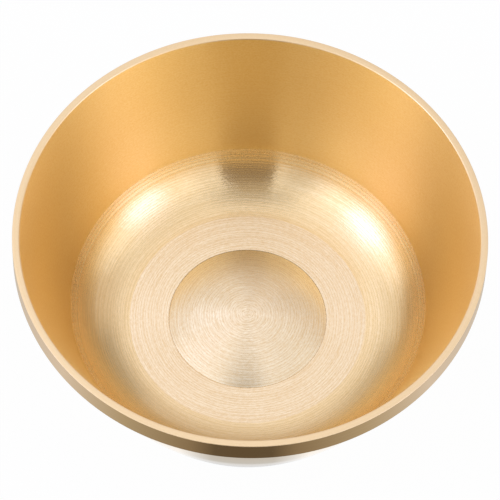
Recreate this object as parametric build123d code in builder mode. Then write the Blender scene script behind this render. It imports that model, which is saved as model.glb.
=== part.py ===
from build123d import *
import os
from math import radians, sqrt, tan

# Driving sizes in millimetres. The bowl is turned about Z and stands on Z = 0.

# Rim: a band with a flat top face.
rim_diameter = 90.0
rim_face_width = 1.35
rim_inner_break = 0.2
rim_outer_break = 0.15
band_height = 4.6

# Wall: a straight cone inside, and one long swelling arc outside.
wall_slope = 19.6
wall_depth = 26.0
wall_top_thickness = 1.65
wall_foot_thickness = 1.15

# Floor: where the wall ends, a curve starts at a soft crease and runs into a flat ring.
floor_curve_width = 11.4
floor_curve_depth = 6.85
floor_thickness = 3.0

# Centre boss: a low dome with a flange let into the floor, and a stem riveted under the foot.
boss_diameter = 30.7
boss_rise = 2.0
boss_flange = 1.4
boss_edge_break = 0.05
stem_diameter = 12.0
tail_spread = 1.6
tail_height = 1.4

# Foot: hollowed underneath, so that it stands on a ring.
foot_diameter = 54.8
foot_height = 6.95
foot_ring_width = 4.5
foot_web = 3.2
foot_edge_break = 0.6
foot_hollow_break = 1.0
seam_break = 0.25

# Slip fit in radius between a turned spigot and its hole.
fit_clearance = 0.03

# Heights, worked out from the foot up.
floor_z = foot_height + floor_thickness
wall_foot_z = floor_z + floor_curve_depth
rim_z = wall_foot_z + wall_depth
band_z = rim_z - band_height
flange_z = floor_z - boss_flange
web_z = foot_height - foot_web

# Radii, worked out from the rim in.
rim_radius = rim_diameter / 2
mouth_radius = rim_radius - rim_face_width
wall_lean = tan(radians(wall_slope))
wall_foot_radius = mouth_radius - wall_depth * wall_lean
floor_flat_radius = wall_foot_radius - floor_curve_width
boss_radius = boss_diameter / 2
dome_radius = boss_radius - boss_edge_break
stem_radius = stem_diameter / 2
foot_radius = foot_diameter / 2
hollow_radius = foot_radius - foot_ring_width

# The outside is an arc through three points: under the band, beside the end of the wall, and at the foot.
neck = (mouth_radius - band_height * wall_lean + wall_top_thickness, band_z)
waist = (wall_foot_radius + wall_foot_thickness, wall_foot_z)
base = (foot_radius, 0)


def outer_radius(z):
    """Radius of the outside at height z, on the circle through neck, waist and base."""
    (ax, az), (bx, bz), (cx, cz) = neck, waist, base
    twice_area = 2 * (ax * (bz - cz) + bx * (cz - az) + cx * (az - bz))
    a2, b2, c2 = ax**2 + az**2, bx**2 + bz**2, cx**2 + cz**2
    centre_r = (a2 * (bz - cz) + b2 * (cz - az) + c2 * (az - bz)) / twice_area
    centre_z = (a2 * (cx - bx) + b2 * (ax - cx) + c2 * (bx - ax)) / twice_area
    reach = sqrt((ax - centre_r) ** 2 + (az - centre_z) ** 2 - (z - centre_z) ** 2)
    return centre_r + reach if ax > centre_r else centre_r - reach


def outside_arc(z_from, z_to):
    """The stretch of the outside between two heights."""
    heights = (z_from, (z_from + z_to) / 2, z_to)
    return ThreePointArc(*[(outer_radius(z), z) for z in heights])


# Shell: the rim band, wall and floor, with a stepped hole for the boss.
with BuildPart() as bowl_shell:
    with BuildSketch(Plane.XZ) as shell_section:
        with BuildLine() as shell_outline:
            Line((0, floor_z), (floor_flat_radius, floor_z))
            TangentArc((floor_flat_radius, floor_z), (wall_foot_radius, wall_foot_z), tangent=(1, 0))
            Polyline(
                (wall_foot_radius, wall_foot_z),
                (mouth_radius, rim_z),
                (rim_radius, rim_z),
                (rim_radius, band_z),
                neck,
            )
            outside_arc(band_z, foot_height)
            Polyline(
                (outer_radius(foot_height), foot_height),
                (0, foot_height),
                (0, floor_z),
            )
        make_face()
    revolve(axis=Axis.Z)

    rim_edges = bowl_shell.edges().group_by(Axis.Z)[-1].sort_by(SortBy.RADIUS)
    chamfer(rim_edges[0], length=rim_inner_break)
    rim_edges = bowl_shell.edges().group_by(Axis.Z)[-1].sort_by(SortBy.RADIUS)
    chamfer(rim_edges[-1], length=rim_outer_break)
    seam_edge = bowl_shell.edges().filter_by(GeomType.CIRCLE).group_by(Axis.Z)[0]
    chamfer(seam_edge, length=seam_break)

    with Locations((0, 0, floor_z)):
        CounterBoreHole(
            radius=stem_radius + fit_clearance,
            counter_bore_radius=boss_radius + fit_clearance,
            counter_bore_depth=boss_flange,
        )
bowl_shell.part.label = "bowl_shell"

# Centre boss: dome, flange and stem in one turned piece, with its tail spread into the foot.
with BuildPart() as centre_boss:
    with BuildSketch(Plane.XZ) as boss_section:
        with BuildLine() as boss_outline:
            TangentArc((0, floor_z + boss_rise), (dome_radius, floor_z), tangent=(1, 0))
            Polyline(
                (dome_radius, floor_z),
                (boss_radius, floor_z - boss_edge_break),
                (boss_radius, flange_z),
                (stem_radius, flange_z),
                (stem_radius, web_z + tail_height),
                (stem_radius + tail_spread, web_z),
                (0, web_z),
                (0, floor_z + boss_rise),
            )
        make_face()
    revolve(axis=Axis.Z)
centre_boss.part.label = "centre_boss"

# Foot: a web under the floor with a standing ring, and a countersunk hole for the riveted tail.
with BuildPart() as foot:
    with BuildSketch(Plane.XZ) as foot_section:
        with BuildLine() as foot_outline:
            Polyline(
                (outer_radius(foot_height), foot_height),
                (stem_radius + fit_clearance, foot_height),
                (stem_radius + fit_clearance, web_z + tail_height),
                (stem_radius + tail_spread, web_z),
                (hollow_radius, web_z),
                (hollow_radius, 0),
                (foot_radius, 0),
            )
            outside_arc(0, foot_height)
        make_face()
    revolve(axis=Axis.Z)
    ring_edges = foot.edges().filter_by(GeomType.CIRCLE).group_by(Axis.Z)[0]
    chamfer(ring_edges, length=foot_edge_break)
    hollow_corner = foot.edges().filter_by(GeomType.CIRCLE).filter_by_position(Axis.Z, web_z, web_z)
    chamfer(hollow_corner.sort_by(SortBy.RADIUS)[-1], length=foot_hollow_break)
    seam_edge = foot.edges().filter_by(GeomType.CIRCLE).group_by(Axis.Z)[-1].sort_by(SortBy.RADIUS)[-1]
    chamfer(seam_edge, length=seam_break)
foot.part.label = "foot"

os.makedirs("parts", exist_ok=True)
export_step(bowl_shell.part, "parts/bowl_shell.step")
export_step(centre_boss.part, "parts/centre_boss.step")
export_step(foot.part, "parts/foot.step")
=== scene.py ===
from math import asin, cos, pi, radians, sin, tan

import bpy
import numpy as np
from mathutils import Matrix, Vector


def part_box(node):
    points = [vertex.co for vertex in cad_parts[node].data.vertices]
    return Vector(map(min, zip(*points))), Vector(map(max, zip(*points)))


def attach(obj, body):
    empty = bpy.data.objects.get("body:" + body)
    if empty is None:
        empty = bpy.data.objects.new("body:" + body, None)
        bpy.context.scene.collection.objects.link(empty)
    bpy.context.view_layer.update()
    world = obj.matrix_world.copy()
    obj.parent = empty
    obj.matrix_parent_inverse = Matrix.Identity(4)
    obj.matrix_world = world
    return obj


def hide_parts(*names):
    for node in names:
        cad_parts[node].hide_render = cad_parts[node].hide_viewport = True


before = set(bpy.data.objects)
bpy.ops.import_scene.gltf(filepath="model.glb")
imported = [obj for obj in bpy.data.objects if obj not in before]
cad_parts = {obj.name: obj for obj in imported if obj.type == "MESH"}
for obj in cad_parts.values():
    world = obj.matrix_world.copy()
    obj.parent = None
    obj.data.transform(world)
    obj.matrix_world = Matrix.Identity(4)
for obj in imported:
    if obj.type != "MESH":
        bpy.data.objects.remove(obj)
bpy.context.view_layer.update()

MM = 0.001

# Sizes of the turned section in millimetres, as on the solids. The first six are read from the frame.
RIM_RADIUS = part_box("bowl_shell")[1].x / MM
RIM_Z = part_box("bowl_shell")[1].z / MM
FOOT_TOP_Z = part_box("bowl_shell")[0].z / MM
BOSS_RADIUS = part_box("centre_boss")[1].x / MM
BOSS_TOP_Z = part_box("centre_boss")[1].z / MM
WEB_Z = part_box("centre_boss")[0].z / MM

RIM_FACE_WIDTH = 1.35
RIM_INNER_BREAK = 0.2
RIM_OUTER_BREAK = 0.1
BAND_HEIGHT = 4.6
WALL_SLOPE = radians(19.6)
WALL_DEPTH = 26.0
WALL_TOP_THICKNESS = 1.65
WALL_FOOT_THICKNESS = 1.15
FLOOR_CURVE_WIDTH = 11.4
BOSS_RISE = 2.0
BOSS_FLANGE = 1.4
BOSS_EDGE_BREAK = 0.05
STEM_RADIUS = 6.0
TAIL_SPREAD = 1.6
TAIL_HEIGHT = 1.4
FOOT_RADIUS = 27.4
FOOT_RING_WIDTH = 4.5
FOOT_EDGE_BREAK = 0.6
FOOT_HOLLOW_BREAK = 1.0
SEAM_BREAK = 0.25
FIT_CLEARANCE = 0.03

# Places on the section that follow from those sizes.
FLOOR_Z = BOSS_TOP_Z - BOSS_RISE
MOUTH_RADIUS = RIM_RADIUS - RIM_FACE_WIDTH
WALL_FOOT = np.array([MOUTH_RADIUS - WALL_DEPTH * tan(WALL_SLOPE), RIM_Z - WALL_DEPTH])
FLAT_RADIUS = WALL_FOOT[0] - FLOOR_CURVE_WIDTH
BAND_Z = RIM_Z - BAND_HEIGHT
NECK = np.array([MOUTH_RADIUS - BAND_HEIGHT * tan(WALL_SLOPE) + WALL_TOP_THICKNESS, BAND_Z])
WAIST = WALL_FOOT + (WALL_FOOT_THICKNESS, 0)
BASE = np.array([FOOT_RADIUS, 0.0])
COUNTERBORE_RADIUS = BOSS_RADIUS + FIT_CLEARANCE
FLANGE_Z = FLOOR_Z - BOSS_FLANGE
HOLE_RADIUS = STEM_RADIUS + FIT_CLEARANCE
HOLLOW_RADIUS = FOOT_RADIUS - FOOT_RING_WIDTH

# Mesh fineness: faces round the axis, and the length of a face along the section in millimetres, from the
# turning marks that show to the seats that don't.
TURNS = 256
RIDGE_STEP = 0.075
FOOT_STEP = 0.5
UNDERSIDE_STEP = 0.8
COARSE_STEP = 1.2
STEM_STEP = 3.0
SEAT_STEP = 6.0
# The fewest points on an arc, the points on a round edge, and the radius that counts as on the axis.
ARC_POINTS = 4
ROUND_POINTS = 9
ON_AXIS = 1e-9
SHARP_ANGLE = radians(22)

# Turning marks: the tool's feed leaves ridges about this far apart and this deep. Their places jitter by a
# share of the pitch.
RIDGE_PITCH = 0.21
RIDGE_DEPTH = 0.0008
RIDGE_JITTER = 0.3
# Where the cut of the wall meets the cut of the floor there are a few coarser steps. Each one rises over a
# share of its width, and falls back over the rest.
CREASE_STEPS = 3
CREASE_PITCH = 0.8
CREASE_DEPTH = 0.03
CREASE_RISE = 0.3
CREASE_POINTS = round(CREASE_STEPS * CREASE_PITCH / RIDGE_STEP)

rng = np.random.default_rng(20)


def line(*corners, step=COARSE_STEP):
    """Straight runs through the corners, divided evenly into stretches of about the step."""
    runs = []
    for start, end in zip(corners[:-1], corners[1:]):
        start, end = np.asarray(start, float), np.asarray(end, float)
        count = max(1, round(np.linalg.norm(end - start) / step))
        runs.append(start + (end - start) * np.linspace(0, 1, count, endpoint=False)[:, None])
    return np.concatenate(runs + [np.asarray(corners[-1:], float)])


def arc_from_level(start, end, step):
    """Arc that leaves start level, along the radius, and ends at end.

    It lies on the circle through both that is centred straight over or under start.
    """
    across, rise = np.subtract(end, start)
    radius = (across**2 + rise**2) / (2 * rise)
    turn = asin(across / abs(radius))
    angle = np.linspace(0, turn, max(ARC_POINTS, round(abs(radius) * turn / step)))
    return np.stack([start[0] + abs(radius) * np.sin(angle), start[1] + radius * (1 - np.cos(angle))], 1)


def outside(high_z, low_z, step=COARSE_STEP):
    """The outside between two heights, on the circle through neck, waist and base."""
    rows = np.stack([NECK, WAIST, BASE])
    middle = np.linalg.solve(2 * (rows[1:] - rows[0]), (rows[1:] ** 2).sum(1) - (rows[0] ** 2).sum())
    radius = np.linalg.norm(NECK - middle)
    z = np.linspace(high_z, low_z, max(ARC_POINTS, round((high_z - low_z) / step)))
    side = np.sign(NECK[0] - middle[0])
    return np.stack([middle[0] + side * np.sqrt(radius**2 - (z - middle[1]) ** 2), z], 1)


def rounded(corner, way_in, way_out, reach):
    """Round edge at a corner: a parabola from the reach along one way to the reach along the other."""
    share = np.linspace(0, 1, ROUND_POINTS)[:, None]
    start, end = corner + reach * np.array(way_in), corner + reach * np.array(way_out)
    return (1 - share) ** 2 * start + 2 * share * (1 - share) * np.array(corner) + share**2 * end


def distances(path):
    """Distance along a path to each of its points: the running sum of the lengths between them."""
    return np.concatenate([[0], np.cumsum(np.linalg.norm(np.diff(path, axis=0), axis=1))])


def pushed_out(path, height):
    """Each point of a path moved by its height, square to the path and to the left of its run."""
    run = np.gradient(path, axis=0)
    square = np.stack([-run[:, 1], run[:, 0]], 1) / np.linalg.norm(run, axis=1)[:, None]
    return path + square * height[:, None]


def ridged(path):
    """Adds turning marks: random heights, one per ridge, joined by smooth steps and faded out at both ends.

    The first ridge lies before the path and the last ones past it, so that every point is between two.
    """
    along = distances(path)
    count = int(along[-1] / RIDGE_PITCH) + 4
    jitter = rng.uniform(-RIDGE_JITTER, RIDGE_JITTER, count)
    peaks = (np.arange(count) - 1 + jitter) * RIDGE_PITCH
    heights = rng.uniform(-1, 1, count) * RIDGE_DEPTH
    place = np.clip(np.searchsorted(peaks, along) - 1, 0, count - 2)
    part = (along - peaks[place]) / (peaks[place + 1] - peaks[place])
    smooth = part**2 * (3 - 2 * part)
    height = heights[place] + (heights[place + 1] - heights[place]) * smooth
    fade = np.clip(np.minimum(along, along[-1] - along) / RIDGE_PITCH, 0, 1)
    return pushed_out(path, height * fade)


def creased(path):
    """Adds the coarse steps at the end of a path: each one rises quickly and falls back slowly."""
    along = distances(path)
    left = along[-1] - along
    phase = (-left / CREASE_PITCH) % 1
    saw = np.minimum(phase / CREASE_RISE, (1 - phase) / (1 - CREASE_RISE))
    return pushed_out(path, CREASE_DEPTH * saw * (left < CREASE_STEPS * CREASE_PITCH))


def turned_piece(name, stretches, slots):
    """Surface of a section carried round the axis: x = r cos a, y = r sin a, z = z.

    The stretches are (path, finish) in order along the section, clockwise with r to the right, each ending
    where the next starts. A section that begins and ends on the axis is closed by two poles, any other by
    its own first point. The map that the finishes follow runs once round the axis, and in metres along the
    section.
    """
    path = np.concatenate([points[:-1] for points, _ in stretches] + [stretches[-1][0][-1:]])
    finish = np.concatenate([np.full(len(points) - 1, slots.index(kind)) for points, kind in stretches])
    run = distances(path)
    poled = path[0, 0] < ON_AXIS
    rows = path[1:-1] if poled else path[:-1]
    angle = np.arange(TURNS) * (2 * pi / TURNS)
    grid = np.stack(
        [
            np.outer(rows[:, 0], np.cos(angle)),
            np.outer(rows[:, 0], np.sin(angle)),
            np.repeat(rows[:, 1:], TURNS, axis=1),
        ],
        axis=-1,
    )
    points = grid.reshape(-1, 3)
    # One face between each two rows and columns, with its finish and its place on the map.
    count = len(rows)
    column = np.arange(TURNS)
    after = (column + 1) % TURNS
    row = np.arange(count - 1 if poled else count)
    below = (row + 1) % count
    quads = np.stack(
        [
            np.add.outer(row * TURNS, column),
            np.add.outer(below * TURNS, column),
            np.add.outer(below * TURNS, after),
            np.add.outer(row * TURNS, after),
        ],
        axis=-1,
    ).reshape(-1, 4)
    first = 1 if poled else 0
    quad_finish = np.repeat(finish[first : first + len(row)], TURNS)
    quad_u = np.stack([column, column, column + 1, column + 1], 1) / TURNS
    quad_v = np.stack([run[first + row], run[first + row + 1], run[first + row + 1], run[first + row]], 1)
    quad_uv = np.stack(
        [np.tile(quad_u, (len(row), 1)), np.repeat(quad_v, TURNS, axis=0) * MM],
        axis=-1,
    )
    faces = quads.tolist()
    face_finish = quad_finish
    uv = quad_uv.reshape(-1, 2)
    if poled:
        # Two fans of triangles close the poles.
        top, bottom = len(points), len(points) + 1
        ends = np.array([[0, 0, path[0, 1]], [0, 0, path[-1, 1]]])
        points = np.concatenate([points, ends])
        last = (count - 1) * TURNS
        faces += np.stack([np.full(TURNS, top), column, after], 1).tolist()
        faces += np.stack([last + column, np.full(TURNS, bottom), last + after], 1).tolist()
        face_finish = np.concatenate([quad_finish, np.full(TURNS, finish[0]), np.full(TURNS, finish[-1])])
        cap_u = np.stack([column + 0.5, column, column + 1], 1) / TURNS
        top_v = np.tile([run[0], run[1], run[1]], (TURNS, 1)) * MM
        low_u = np.stack([column, column + 0.5, column + 1], 1) / TURNS
        low_v = np.tile([run[-2], run[-1], run[-2]], (TURNS, 1)) * MM
        caps = [np.stack([cap_u, top_v], -1).reshape(-1, 2), np.stack([low_u, low_v], -1).reshape(-1, 2)]
        uv = np.concatenate([uv] + caps)
    mesh = bpy.data.meshes.new(name)
    mesh.from_pydata((points * MM).tolist(), [], faces)
    mesh.polygons.foreach_set("material_index", face_finish.astype(np.int32))
    layer = mesh.uv_layers.new(name="turning")
    layer.data.foreach_set("uv", uv.astype(np.float32).ravel())
    mesh.shade_smooth()
    mesh.set_sharp_from_angle(angle=SHARP_ANGLE)
    for slot in slots:
        mesh.materials.append(FINISHES[slot])
    return placed(name, mesh)


def placed(name, data):
    """Object of that name at the origin, in the scene, for a mesh or a lens."""
    made = bpy.data.objects.new(name, data)
    bpy.context.scene.collection.objects.link(made)
    return made


def linear(code):
    """sRGB hex colour to linear red, green, blue and alpha."""
    value = np.array([int(code[i : i + 2], 16) for i in (1, 3, 5)]) / 255
    flat = np.where(value <= 0.04045, value / 12.92, ((value + 0.055) / 1.055) ** 2.4)
    return (*flat.tolist(), 1.0)


def node(tree, kind, inputs=None, **settings):
    """Adds one node. Settings are its own properties, and an input is a value or another node's output."""
    made = tree.nodes.new("ShaderNode" + kind)
    for key, value in settings.items():
        setattr(made, key, value)
    for key, value in (inputs or {}).items():
        if isinstance(value, bpy.types.NodeSocket):
            tree.links.new(value, made.inputs[key])
        else:
            made.inputs[key].default_value = value
    return made


def empty_material(name):
    """New material with no nodes, and its tree."""
    material = bpy.data.materials.new(name)
    material.use_nodes = True
    material.node_tree.nodes.clear()
    return material, material.node_tree


# Rings: how fast they change round the axis, how far their spacing drifts, and how fine that drift is.
RING_CHANGES = 1.5
RING_DRIFT = 6.0
RING_DRIFT_SCALE = 3.0
# The wave pattern runs through 20 radians in a unit, so at this scale a unit holds one ring.
RING_SCALE = 2 * pi / 20
# Grain: how wide a mark is across the rings in millimetres, and the part of the noise that is drawn.
GRAIN_WIDE = 0.24
GRAIN_LOW = 0.3
GRAIN_HIGH = 0.7
# A quarter of a turn, which lays the wide side of the gloss across the rings.
GLOSS_TURN = 0.25


def brass(name, tints, roughness, anisotropy, ring_mm, depth_mm, grain, grain_mm):
    """Brass with turning marks: a metal tint and a roughness that vary mark by mark, and a fine bump.

    The marks mix two patterns: rings, a sine wave on the distance along the section whose phase drifts by
    noise, and grain, noise on the place itself, squeezed across the rings. Grain is the second pattern's
    share. Across the rings the gloss is spread wider than along them.
    """
    material, tree = empty_material(name)
    place = node(tree, "TexCoord").outputs
    along = node(tree, "SeparateXYZ", {0: node(tree, "UVMap", uv_map="turning").outputs[0]}).outputs["Y"]
    flat = node(tree, "VectorMath", {0: place["Object"], 1: (1, 1, 0)}, operation="MULTIPLY").outputs[0]
    around = node(tree, "VectorMath", {0: flat}, operation="NORMALIZE").outputs[0]
    spots = []
    patterns = ((around, RING_CHANGES, ring_mm), (flat, 1 / (grain_mm * MM), GRAIN_WIDE))
    for level, scale, wide_mm in patterns:
        climb = node(tree, "Math", {0: along, 1: 1 / (wide_mm * MM)}, operation="MULTIPLY")
        lift = node(tree, "CombineXYZ", {"Z": climb.outputs[0]})
        spread_out = node(tree, "VectorMath", {0: level, "Scale": scale}, operation="SCALE")
        spot = node(tree, "VectorMath", {0: spread_out.outputs[0], 1: lift.outputs[0]}, operation="ADD")
        spots.append(spot.outputs[0])
    drift = {"Distortion": RING_DRIFT, "Detail": 1.0, "Detail Scale": RING_DRIFT_SCALE}
    wave = {"Vector": spots[0], "Scale": RING_SCALE, **drift}
    rings = node(tree, "TexWave", wave, bands_direction="Z").outputs["Fac"]
    noise = node(tree, "TexNoise", {"Vector": spots[1], "Scale": 1.0, "Detail": 1.0}).outputs["Fac"]
    drawn = {"From Min": GRAIN_LOW, "From Max": GRAIN_HIGH}
    grains = node(tree, "MapRange", {"Value": noise, **drawn}).outputs[0]
    marks = node(tree, "Mix", {"Factor": grain, 2: rings, 3: grains}, data_type="FLOAT").outputs[0]
    gloss = node(tree, "MapRange", {"Value": marks, "To Min": roughness[0], "To Max": roughness[1]})
    # Painted shade: the deep tint darkens the marks as the shade inside the grooves would, besides the
    # darker residue that they hold.
    deep, pale = [linear(code) for code in tints]
    tint = node(tree, "Mix", {"Factor": marks, 6: deep, 7: pale}, data_type="RGBA")
    bump = node(tree, "Bump", {"Strength": 1.0, "Distance": depth_mm * MM, "Height": marks})
    ring = node(tree, "Tangent", direction_type="RADIAL", axis="Z")
    shader = node(
        tree,
        "BsdfPrincipled",
        {
            "Base Color": tint.outputs[2],
            "Metallic": 1.0,
            "Roughness": gloss.outputs[0],
            "Anisotropic": anisotropy,
            "Anisotropic Rotation": GLOSS_TURN,
            "Tangent": ring.outputs[0],
            "Normal": bump.outputs[0],
        },
    )
    node(tree, "OutputMaterial", {"Surface": shader.outputs[0]})
    return material


# Every finish is brass, a pale gold metal, as one step of the work left it. Real feed marks and polishing
# lines are 0.05 to 0.1 mm apart, too fine to show, so rings and grain are drawn several times as coarse.
# The tints differ from finish to finish partly as painted light and shade: paler on the floor and dome, for
# brass in bright light, and deeper on the wall, for brass in shade down in the bowl.
FINISHES = {
    # Dome, underside and seats, turned with a pointed tool: fine rings, and gloss fanned out across them.
    "turned": brass(
        "lathe turned brass",
        tints=("#EDD1AA", "#FEEED5"),
        roughness=(0.23, 0.17),
        anisotropy=0.97,
        ring_mm=0.5,
        depth_mm=0.005,
        grain=0.5,
        grain_mm=0.7,
    ),
    # Flat ring of the floor, turned the same way: a little deeper in colour, and its rings show less.
    "flat": brass(
        "flat turned brass",
        tints=("#EFD0A6", "#FCE8CA"),
        roughness=(0.20, 0.15),
        anisotropy=0.97,
        ring_mm=0.5,
        depth_mm=0.005,
        grain=0.5,
        grain_mm=0.7,
    ),
    # Curve of the floor, turned with a finer feed: thin, mostly unbroken lines that glint under the lamps.
    "curve": brass(
        "fine turned brass",
        tints=("#EFCF9C", "#FCE2B9"),
        roughness=(0.22, 0.195),
        anisotropy=1.0,
        ring_mm=0.5,
        depth_mm=0.013,
        grain=0.45,
        grain_mm=0.9,
    ),
    # Last steps of that cut, rougher where the tool ran out: a dull, slightly paler line round the floor.
    "ridged": brass(
        "ridged turned brass",
        tints=("#F0CF98", "#FEE4B6"),
        roughness=(0.29, 0.24),
        anisotropy=1.0,
        ring_mm=0.5,
        depth_mm=0.0035,
        grain=0.5,
        grain_mm=0.45,
    ),
    # Wall, turned and then rubbed with fine abrasive: deep gold from mirroring itself, with no clear image.
    "satin": brass(
        "satin rubbed brass",
        tints=("#F4D491", "#FBE0A5"),
        roughness=(0.30, 0.28),
        anisotropy=0.8,
        ring_mm=0.5,
        depth_mm=0.0008,
        grain=0.8,
        grain_mm=0.4,
    ),
    # Top face of the rim, faced flat with a broad tool: an even pale sheen.
    "faced": brass(
        "faced brass",
        tints=("#F7DAAF", "#FBE0B9"),
        roughness=(0.35, 0.29),
        anisotropy=0.3,
        ring_mm=0.5,
        depth_mm=0.0006,
        grain=0.6,
        grain_mm=0.4,
    ),
    # Outside, buffed on a wheel: it mirrors the floor almost sharply, with faint lines along the turning.
    "polished": brass(
        "polished brass",
        tints=("#F5DAB2", "#F9DFB9"),
        roughness=(0.07, 0.05),
        anisotropy=0.3,
        ring_mm=0.6,
        depth_mm=0.0001,
        grain=0.2,
        grain_mm=0.4,
    ),
}

# Bowl: flat ring, curve, crease, wall, rim and outside, then back through the stepped hole for the boss.
flat_path = ridged(line((COUNTERBORE_RADIUS, FLOOR_Z), (FLAT_RADIUS, FLOOR_Z), step=RIDGE_STEP))
curve_path = creased(ridged(arc_from_level((FLAT_RADIUS, FLOOR_Z), WALL_FOOT, RIDGE_STEP)))
rim_inner = rounded((MOUTH_RADIUS, RIM_Z), (-sin(WALL_SLOPE), -cos(WALL_SLOPE)), (1, 0), RIM_INNER_BREAK)
rim_outer = rounded((RIM_RADIUS, RIM_Z), (-1, 0), (0, -1), RIM_OUTER_BREAK)
shell_outside = outside(BAND_Z, FOOT_TOP_Z + SEAM_BREAK)
shell_seam = (outside(FOOT_TOP_Z + SEAM_BREAK, FOOT_TOP_Z)[-1][0] - SEAM_BREAK, FOOT_TOP_Z)
bowl = turned_piece(
    "turned_bowl",
    [
        (flat_path, "flat"),
        (curve_path[:-CREASE_POINTS], "curve"),
        (curve_path[-CREASE_POINTS - 1 :], "ridged"),
        (line(WALL_FOOT, rim_inner[0]), "satin"),
        (np.concatenate([rim_inner[:-1], line(rim_inner[-1], rim_outer[0])[:-1], rim_outer]), "faced"),
        (np.concatenate([line(rim_outer[-1], (RIM_RADIUS, BAND_Z), NECK)[:-1], shell_outside]), "polished"),
        (line(shell_outside[-1], shell_seam), "polished"),
        (
            line(
                shell_seam,
                (HOLE_RADIUS, FOOT_TOP_Z),
                (HOLE_RADIUS, FLANGE_Z),
                (COUNTERBORE_RADIUS, FLANGE_Z),
                (COUNTERBORE_RADIUS, FLOOR_Z),
                step=SEAT_STEP,
            ),
            "turned",
        ),
    ],
    ["flat", "curve", "ridged", "satin", "faced", "polished", "turned"],
)

# Boss: the dome, its flange and its stem, down to the tail that is riveted over under the foot.
dome_edge = (BOSS_RADIUS - BOSS_EDGE_BREAK, FLOOR_Z)
boss = turned_piece(
    "domed_boss",
    [
        (ridged(arc_from_level((0, BOSS_TOP_Z), dome_edge, RIDGE_STEP)), "turned"),
        (
            line(
                dome_edge,
                (BOSS_RADIUS, FLOOR_Z - BOSS_EDGE_BREAK),
                (BOSS_RADIUS, FLANGE_Z),
                (STEM_RADIUS, FLANGE_Z),
                (STEM_RADIUS, WEB_Z + TAIL_HEIGHT),
                (STEM_RADIUS + TAIL_SPREAD, WEB_Z),
                (0, WEB_Z),
                step=STEM_STEP,
            ),
            "turned",
        ),
    ],
    ["turned"],
)

# Foot: the seat under the bowl, the outside, the standing ring, the hollow and the hole for the stem.
foot_outside = outside(FOOT_TOP_Z - SEAM_BREAK, FOOT_EDGE_BREAK, step=FOOT_STEP)
foot_seam = (outside(FOOT_TOP_Z, FOOT_TOP_Z - SEAM_BREAK)[0][0] - SEAM_BREAK, FOOT_TOP_Z)
foot = turned_piece(
    "standing_foot",
    [
        (line((HOLE_RADIUS, FOOT_TOP_Z), foot_seam, step=SEAT_STEP), "turned"),
        (np.concatenate([line(foot_seam, foot_outside[0])[:-1], foot_outside]), "polished"),
        (
            line(
                foot_outside[-1],
                (FOOT_RADIUS - FOOT_EDGE_BREAK, 0),
                (HOLLOW_RADIUS + FOOT_EDGE_BREAK, 0),
                (HOLLOW_RADIUS, FOOT_EDGE_BREAK),
                (HOLLOW_RADIUS, WEB_Z - FOOT_HOLLOW_BREAK),
                (HOLLOW_RADIUS - FOOT_HOLLOW_BREAK, WEB_Z),
                (STEM_RADIUS + TAIL_SPREAD, WEB_Z),
                (HOLE_RADIUS, WEB_Z + TAIL_HEIGHT),
                (HOLE_RADIUS, FOOT_TOP_Z),
                step=UNDERSIDE_STEP,
            ),
            "turned",
        ),
    ],
    ["turned", "polished"],
)

# Nothing moves, so every piece rides on the root, in place of its solid.
for piece, cad_node, slot in (
    (bowl, "bowl_shell", "satin_brass"),
    (boss, "centre_boss", "turned_brass"),
    (foot, "foot", "polished_brass"),
):
    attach(piece, "root")
    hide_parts(cad_node)

# Camera: a long lens, looking down into the bowl at the photograph's angle, with its slight roll. Its
# distance, and its aim from the middle of the rim, are in rim radii, and its clipping is in metres.
FOCAL_PIXELS = 4739.5
FRAME_PIXELS = 500
SENSOR_MM = 36.0
CLIP_NEAR = 0.01
CLIP_FAR = 50
VIEW_ELEVATION = radians(60.43)
VIEW_ROLL = radians(1.78)
VIEW_DISTANCE = 19.87
VIEW_AIM = (0.001, -0.0732, 0)

back = Vector((0, -cos(VIEW_ELEVATION), sin(VIEW_ELEVATION)))
level_right = Vector((1, 0, 0))
level_up = back.cross(level_right)
right = cos(VIEW_ROLL) * level_right + sin(VIEW_ROLL) * level_up
up = -sin(VIEW_ROLL) * level_right + cos(VIEW_ROLL) * level_up
lens = bpy.data.cameras.new("camera")
lens.sensor_width = SENSOR_MM
lens.lens = FOCAL_PIXELS * SENSOR_MM / FRAME_PIXELS
lens.clip_start = CLIP_NEAR
lens.clip_end = CLIP_FAR
camera = placed("camera", lens)
aim = Vector(VIEW_AIM) * RIM_RADIUS * MM + Vector((0, 0, RIM_Z * MM))
turn = Matrix((right, up, back)).transposed().to_4x4()
camera.matrix_world = Matrix.Translation(aim + VIEW_DISTANCE * RIM_RADIUS * MM * back) @ turn
bpy.context.scene.camera = camera
bpy.context.scene.view_settings.view_transform = "Standard"

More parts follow.
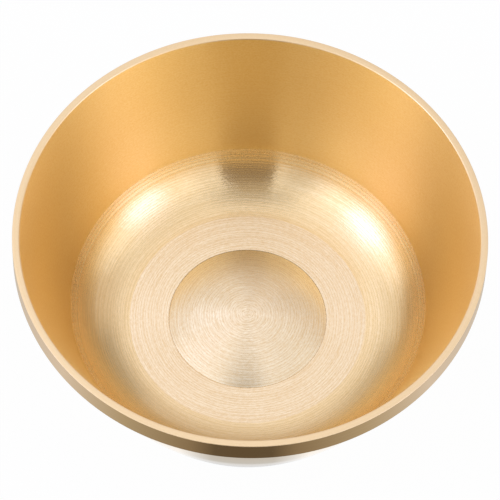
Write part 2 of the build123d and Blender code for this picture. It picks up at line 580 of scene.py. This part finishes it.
# Studio: a white room with two soft boxes, dimmer low down at the back, and a dark gap where the camera
# stands. Each panel is its azimuth from the camera's side round to the right, its elevation, half its
# width, half its height and half the width of its soft edge, all in degrees, and its brightness.
ROOM_RADIUS = 1.45
ROOM_ROWS = 17
ROOM_COLUMNS = 65
ROOM_LEVEL = (1.0, 1.0, 1.0)
PANELS = {
    "high back": (-156, 66, 51, 10, 4, (1.08, 1.08, 1.12)),
    "high back right": (162, 66, 12, 10, 4, (0.98, 0.97, 0.99)),
    "high left": (-72, 66, 34, 10, 6, (1.12, 1.13, 1.15)),
    "high right": (93, 66, 58, 10, 6, (0.89, 0.88, 0.86)),
    "back left": (-145, 25, 36, 32, 4, (0.9, 0.88, 0.86)),
    "back right": (145, 25, 36, 32, 4, (0.74, 0.68, 0.62)),
    "back": (180, 18, 34, 26, 5, (0.74, 0.7, 0.68)),
    "dark corner left": (-148, 35, 12, 9, 6, (0.55, 0.53, 0.5)),
    "dark corner right": (147, 36, 12, 9, 6, (0.34, 0.33, 0.3)),
    "bright spot": (-154, 59, 10, 4, 3, (1.25, 1.33, 1.55)),
    "zenith": (0, 90, 181, 9, 5, (0.82, 0.82, 0.82)),
    "overhead": (0, 81, 50, 10, 5, (0.42, 0.42, 0.42)),
    "front left": (-36, 27, 18, 28, 6, (0.75, 0.75, 0.75)),
    "front right": (38, 25, 16, 26, 6, (0.88, 0.88, 0.88)),
    "glow left": (-75, 36, 34, 22, 12, (1.46, 1.51, 1.68)),
    "glow right": (66, 36, 34, 22, 12, (1.28, 1.28, 1.3)),
    "softbox left": (-78, 41, 13, 12, 8, (2.2, 2.3, 3.6)),
    "softbox right": (67, 33, 12, 13, 8, (2.0, 2.1, 3.1)),
    "gap above the camera": (-0.5, 66, 14.5, 8, 2, (0.62, 0.54, 0.4)),
    "gap": (2.5, 14, 16, 46.5, 1, (0.24, 0.19, 0.13)),
}


def sheet_piece(name, rows, material):
    """Open surface through the points of a grid, for the studio: one face between each four neighbours."""
    count, width = rows.shape[:2]
    index = np.arange(count * width).reshape(count, width)
    quads = np.stack([index[:-1, :-1], index[1:, :-1], index[1:, 1:], index[:-1, 1:]], -1).reshape(-1, 4)
    mesh = bpy.data.meshes.new(name)
    mesh.from_pydata(rows.reshape(-1, 3).tolist(), [], quads.tolist())
    mesh.materials.append(material)
    piece = placed(name, mesh)
    return piece


def add_azimuth(tree, way):
    """Angle round the bowl of a direction or place, zero at the camera's side and growing to the right."""
    front = node(tree, "Math", {0: way["Y"], 1: -1.0}, operation="MULTIPLY")
    return node(tree, "Math", {0: way["X"], 1: front.outputs[0]}, operation="ARCTAN2").outputs[0]


def add_panel(tree, colour, azimuth, elevation, panel):
    """Mixes one soft-edged rectangle of the room's wall, in angles, over the colour so far."""
    turn, tilt, half_width, half_height, soft, level = panel
    away = node(tree, "Math", {0: azimuth, 1: radians(turn)}, operation="SUBTRACT")
    away = node(tree, "Math", {0: away.outputs[0], 1: pi, 2: -pi}, operation="WRAP")
    above = node(tree, "Math", {0: elevation, 1: radians(tilt)}, operation="SUBTRACT")
    shares = []
    for offset, half in ((away, half_width), (above, half_height)):
        size = node(tree, "Math", {0: offset.outputs[0]}, operation="ABSOLUTE")
        edge = {"From Min": radians(half - soft), "From Max": radians(half + soft)}
        fall = {"Value": size.outputs[0], **edge, "To Min": 1.0, "To Max": 0.0}
        share = node(tree, "MapRange", fall, interpolation_type="SMOOTHSTEP")
        shares.append(share.outputs[0])
    cover = node(tree, "Math", {0: shares[0], 1: shares[1]}, operation="MULTIPLY")
    mixed = node(tree, "Mix", {0: cover.outputs[0], 6: colour, 7: (*level, 1)}, data_type="RGBA")
    return mixed.outputs[2]


# Room: a half sphere that lights the bowl and that the metal mirrors. The camera looks through it. With
# azimuth a and elevation e, x = cos e sin a, y = -cos e cos a and z = sin e, times the radius.
walls, tree = empty_material("studio walls")
# Rays that leave the bowl find the walls by themselves, so no samples are aimed at them.
walls.cycles.emission_sampling = "NONE"
way = node(tree, "VectorMath", {0: node(tree, "TexCoord").outputs["Object"]}, operation="NORMALIZE")
way = node(tree, "SeparateXYZ", {0: way.outputs[0]}).outputs
azimuth = add_azimuth(tree, way)
elevation = node(tree, "Math", {0: way["Z"]}, operation="ARCSINE").outputs[0]
level = (*ROOM_LEVEL, 1)
for panel in PANELS.values():
    level = add_panel(tree, level, azimuth, elevation, panel)
glow = node(tree, "Emission", {"Color": level, "Strength": 1.0})
node(tree, "OutputMaterial", {"Surface": glow.outputs[0]})
around, above = np.meshgrid(np.linspace(-pi, pi, ROOM_COLUMNS), np.linspace(0, pi / 2, ROOM_ROWS))
room_rows = [np.cos(above) * np.sin(around), -np.cos(above) * np.cos(around), np.sin(above)]
room = sheet_piece("room", ROOM_RADIUS * np.stack(room_rows, -1), walls)
room.visible_camera = False

# World: plain white, which the camera sees past the floor.
world = bpy.data.worlds.new("white")
world.use_nodes = True
bpy.context.scene.world = world
tree = world.node_tree
tree.nodes.clear()
sky = node(tree, "Background", {"Color": (1, 1, 1, 1), "Strength": 1.0})
node(tree, "OutputWorld", {"Surface": sky.outputs[0]})

# Floor: white paper, a hair under the foot so that the two never share a plane. The camera sees it white
# with a faint shadow, and the metal mirrors more of its shadow.
FLOOR_HALF = 1.5
FLOOR_DROP = 0.00005
PAPER_COLOUR = "#EAEEF2"
CAMERA_WHITE = 0.97
MIRROR_WHITE = 0.08
paper, tree = empty_material("white paper")
lit = node(tree, "BsdfDiffuse", {"Color": linear(PAPER_COLOUR)})
white = node(tree, "Emission", {"Color": (1, 1, 1, 1), "Strength": 1.0})
ray = node(tree, "LightPath").outputs
mirror = node(tree, "Math", {0: ray["Is Glossy Ray"], 1: ray["Is Transmission Ray"]}, operation="MAXIMUM")
mirror = node(tree, "Math", {0: mirror.outputs[0], 1: MIRROR_WHITE}, operation="MULTIPLY")
seen = node(tree, "Math", {0: ray["Is Camera Ray"], 1: CAMERA_WHITE}, operation="MULTIPLY")
share = node(tree, "Math", {0: seen.outputs[0], 1: mirror.outputs[0]}, operation="MAXIMUM")
mixed = node(tree, "MixShader", {0: share.outputs[0], 1: lit.outputs[0], 2: white.outputs[0]})
node(tree, "OutputMaterial", {"Surface": mixed.outputs[0]})
corner = np.array([-FLOOR_HALF, FLOOR_HALF])
floor_rows = [*np.meshgrid(corner, corner, indexing="ij"), np.full((2, 2), -FLOOR_DROP)]
sheet_piece("floor", np.stack(floor_rows, -1), paper)

# Surround: a painted reflection of the floor close by, a glowing ring out of the camera's sight that only
# the metal shows, with painted shade in front of the bowl and painted light at the foot. It is a flat ring,
# x = r sin a and y = -r cos a. Each entry takes over between two radii in millimetres, and has its colour
# in front and its colours by degrees to either side of the front.
SURROUND_LIFT = 0.0004
SURROUND_NEAR = 26.7
SURROUND_FAR = 130.0
SURROUND_COLUMNS = 97
SURROUND = {
    # Painted light: the floor at the foot, which lies in the bowl's shadow, glows nearly white in the
    # metal.
    "painted light at the foot": (0, 26, "#E1E3E6", {12: "#E2E4E7", 19: "#EEF0F2", 26: "#FFFFFF"}),
    # Painted shade: a grey ring for the shaded floor under the bowl's overhang.
    "paper": (29.6, 30.6, "#C9C8C5", {12: "#CBCAC7", 19: "#E4E5E6", 26: "#FFFFFF"}),
    # Painted shade: the floor in front of the bowl, dark brown straight ahead and lighter to the sides.
    "painted shade in front": (
        33,
        49,
        "#635849",
        {9: "#645A4B", 17: "#8A7E6B", 40: "#B1A895", 66: "#D9D4D0", 104: "#CFC6BA", 150: "#E4DFD8"},
    ),
    # Painted reflection of the far floor: an even light grey.
    "painted floor far off": (95, 130, "#E6E8EA", {180: "#E6E8EA"}),
}

surround, tree = empty_material("painted reflection surround")
spot = node(tree, "TexCoord").outputs["Object"]
swing = add_azimuth(tree, node(tree, "SeparateXYZ", {0: spot}).outputs)
aside = node(tree, "Math", {0: swing}, operation="ABSOLUTE")
share = node(tree, "Math", {0: aside.outputs[0], 1: pi}, operation="DIVIDE")
reach = node(tree, "VectorMath", {0: spot}, operation="LENGTH").outputs["Value"]
level = (1, 1, 1, 1)
for start, end, front, stops in SURROUND.values():
    ramp = node(tree, "ValToRGB", {0: share.outputs[0]})
    colours = ramp.color_ramp.elements
    colours.remove(colours[-1])
    colours[0].color = linear(front)
    for degrees, code in stops.items():
        colours.new(degrees / 180).color = linear(code)
    edge = {"From Min": start * MM, "From Max": end * MM}
    cover = node(tree, "MapRange", {"Value": reach, **edge}, interpolation_type="SMOOTHSTEP")
    mixed = node(tree, "Mix", {0: cover.outputs[0], 6: level, 7: ramp.outputs[0]}, data_type="RGBA")
    level = mixed.outputs[2]
glow = node(tree, "Emission", {"Color": level, "Strength": 1.0})
node(tree, "OutputMaterial", {"Surface": glow.outputs[0]})
fan = np.linspace(-pi, pi, SURROUND_COLUMNS)
radii = np.array([SURROUND_NEAR, SURROUND_FAR]) * MM
height = np.full((2, len(fan)), SURROUND_LIFT)
ring_rows = [np.outer(radii, np.sin(fan)), -np.outer(radii, np.cos(fan)), height]
mirrored = sheet_piece("surround", np.stack(ring_rows, -1), surround)
mirrored.visible_camera = False
mirrored.visible_diffuse = False
mirrored.visible_shadow = False
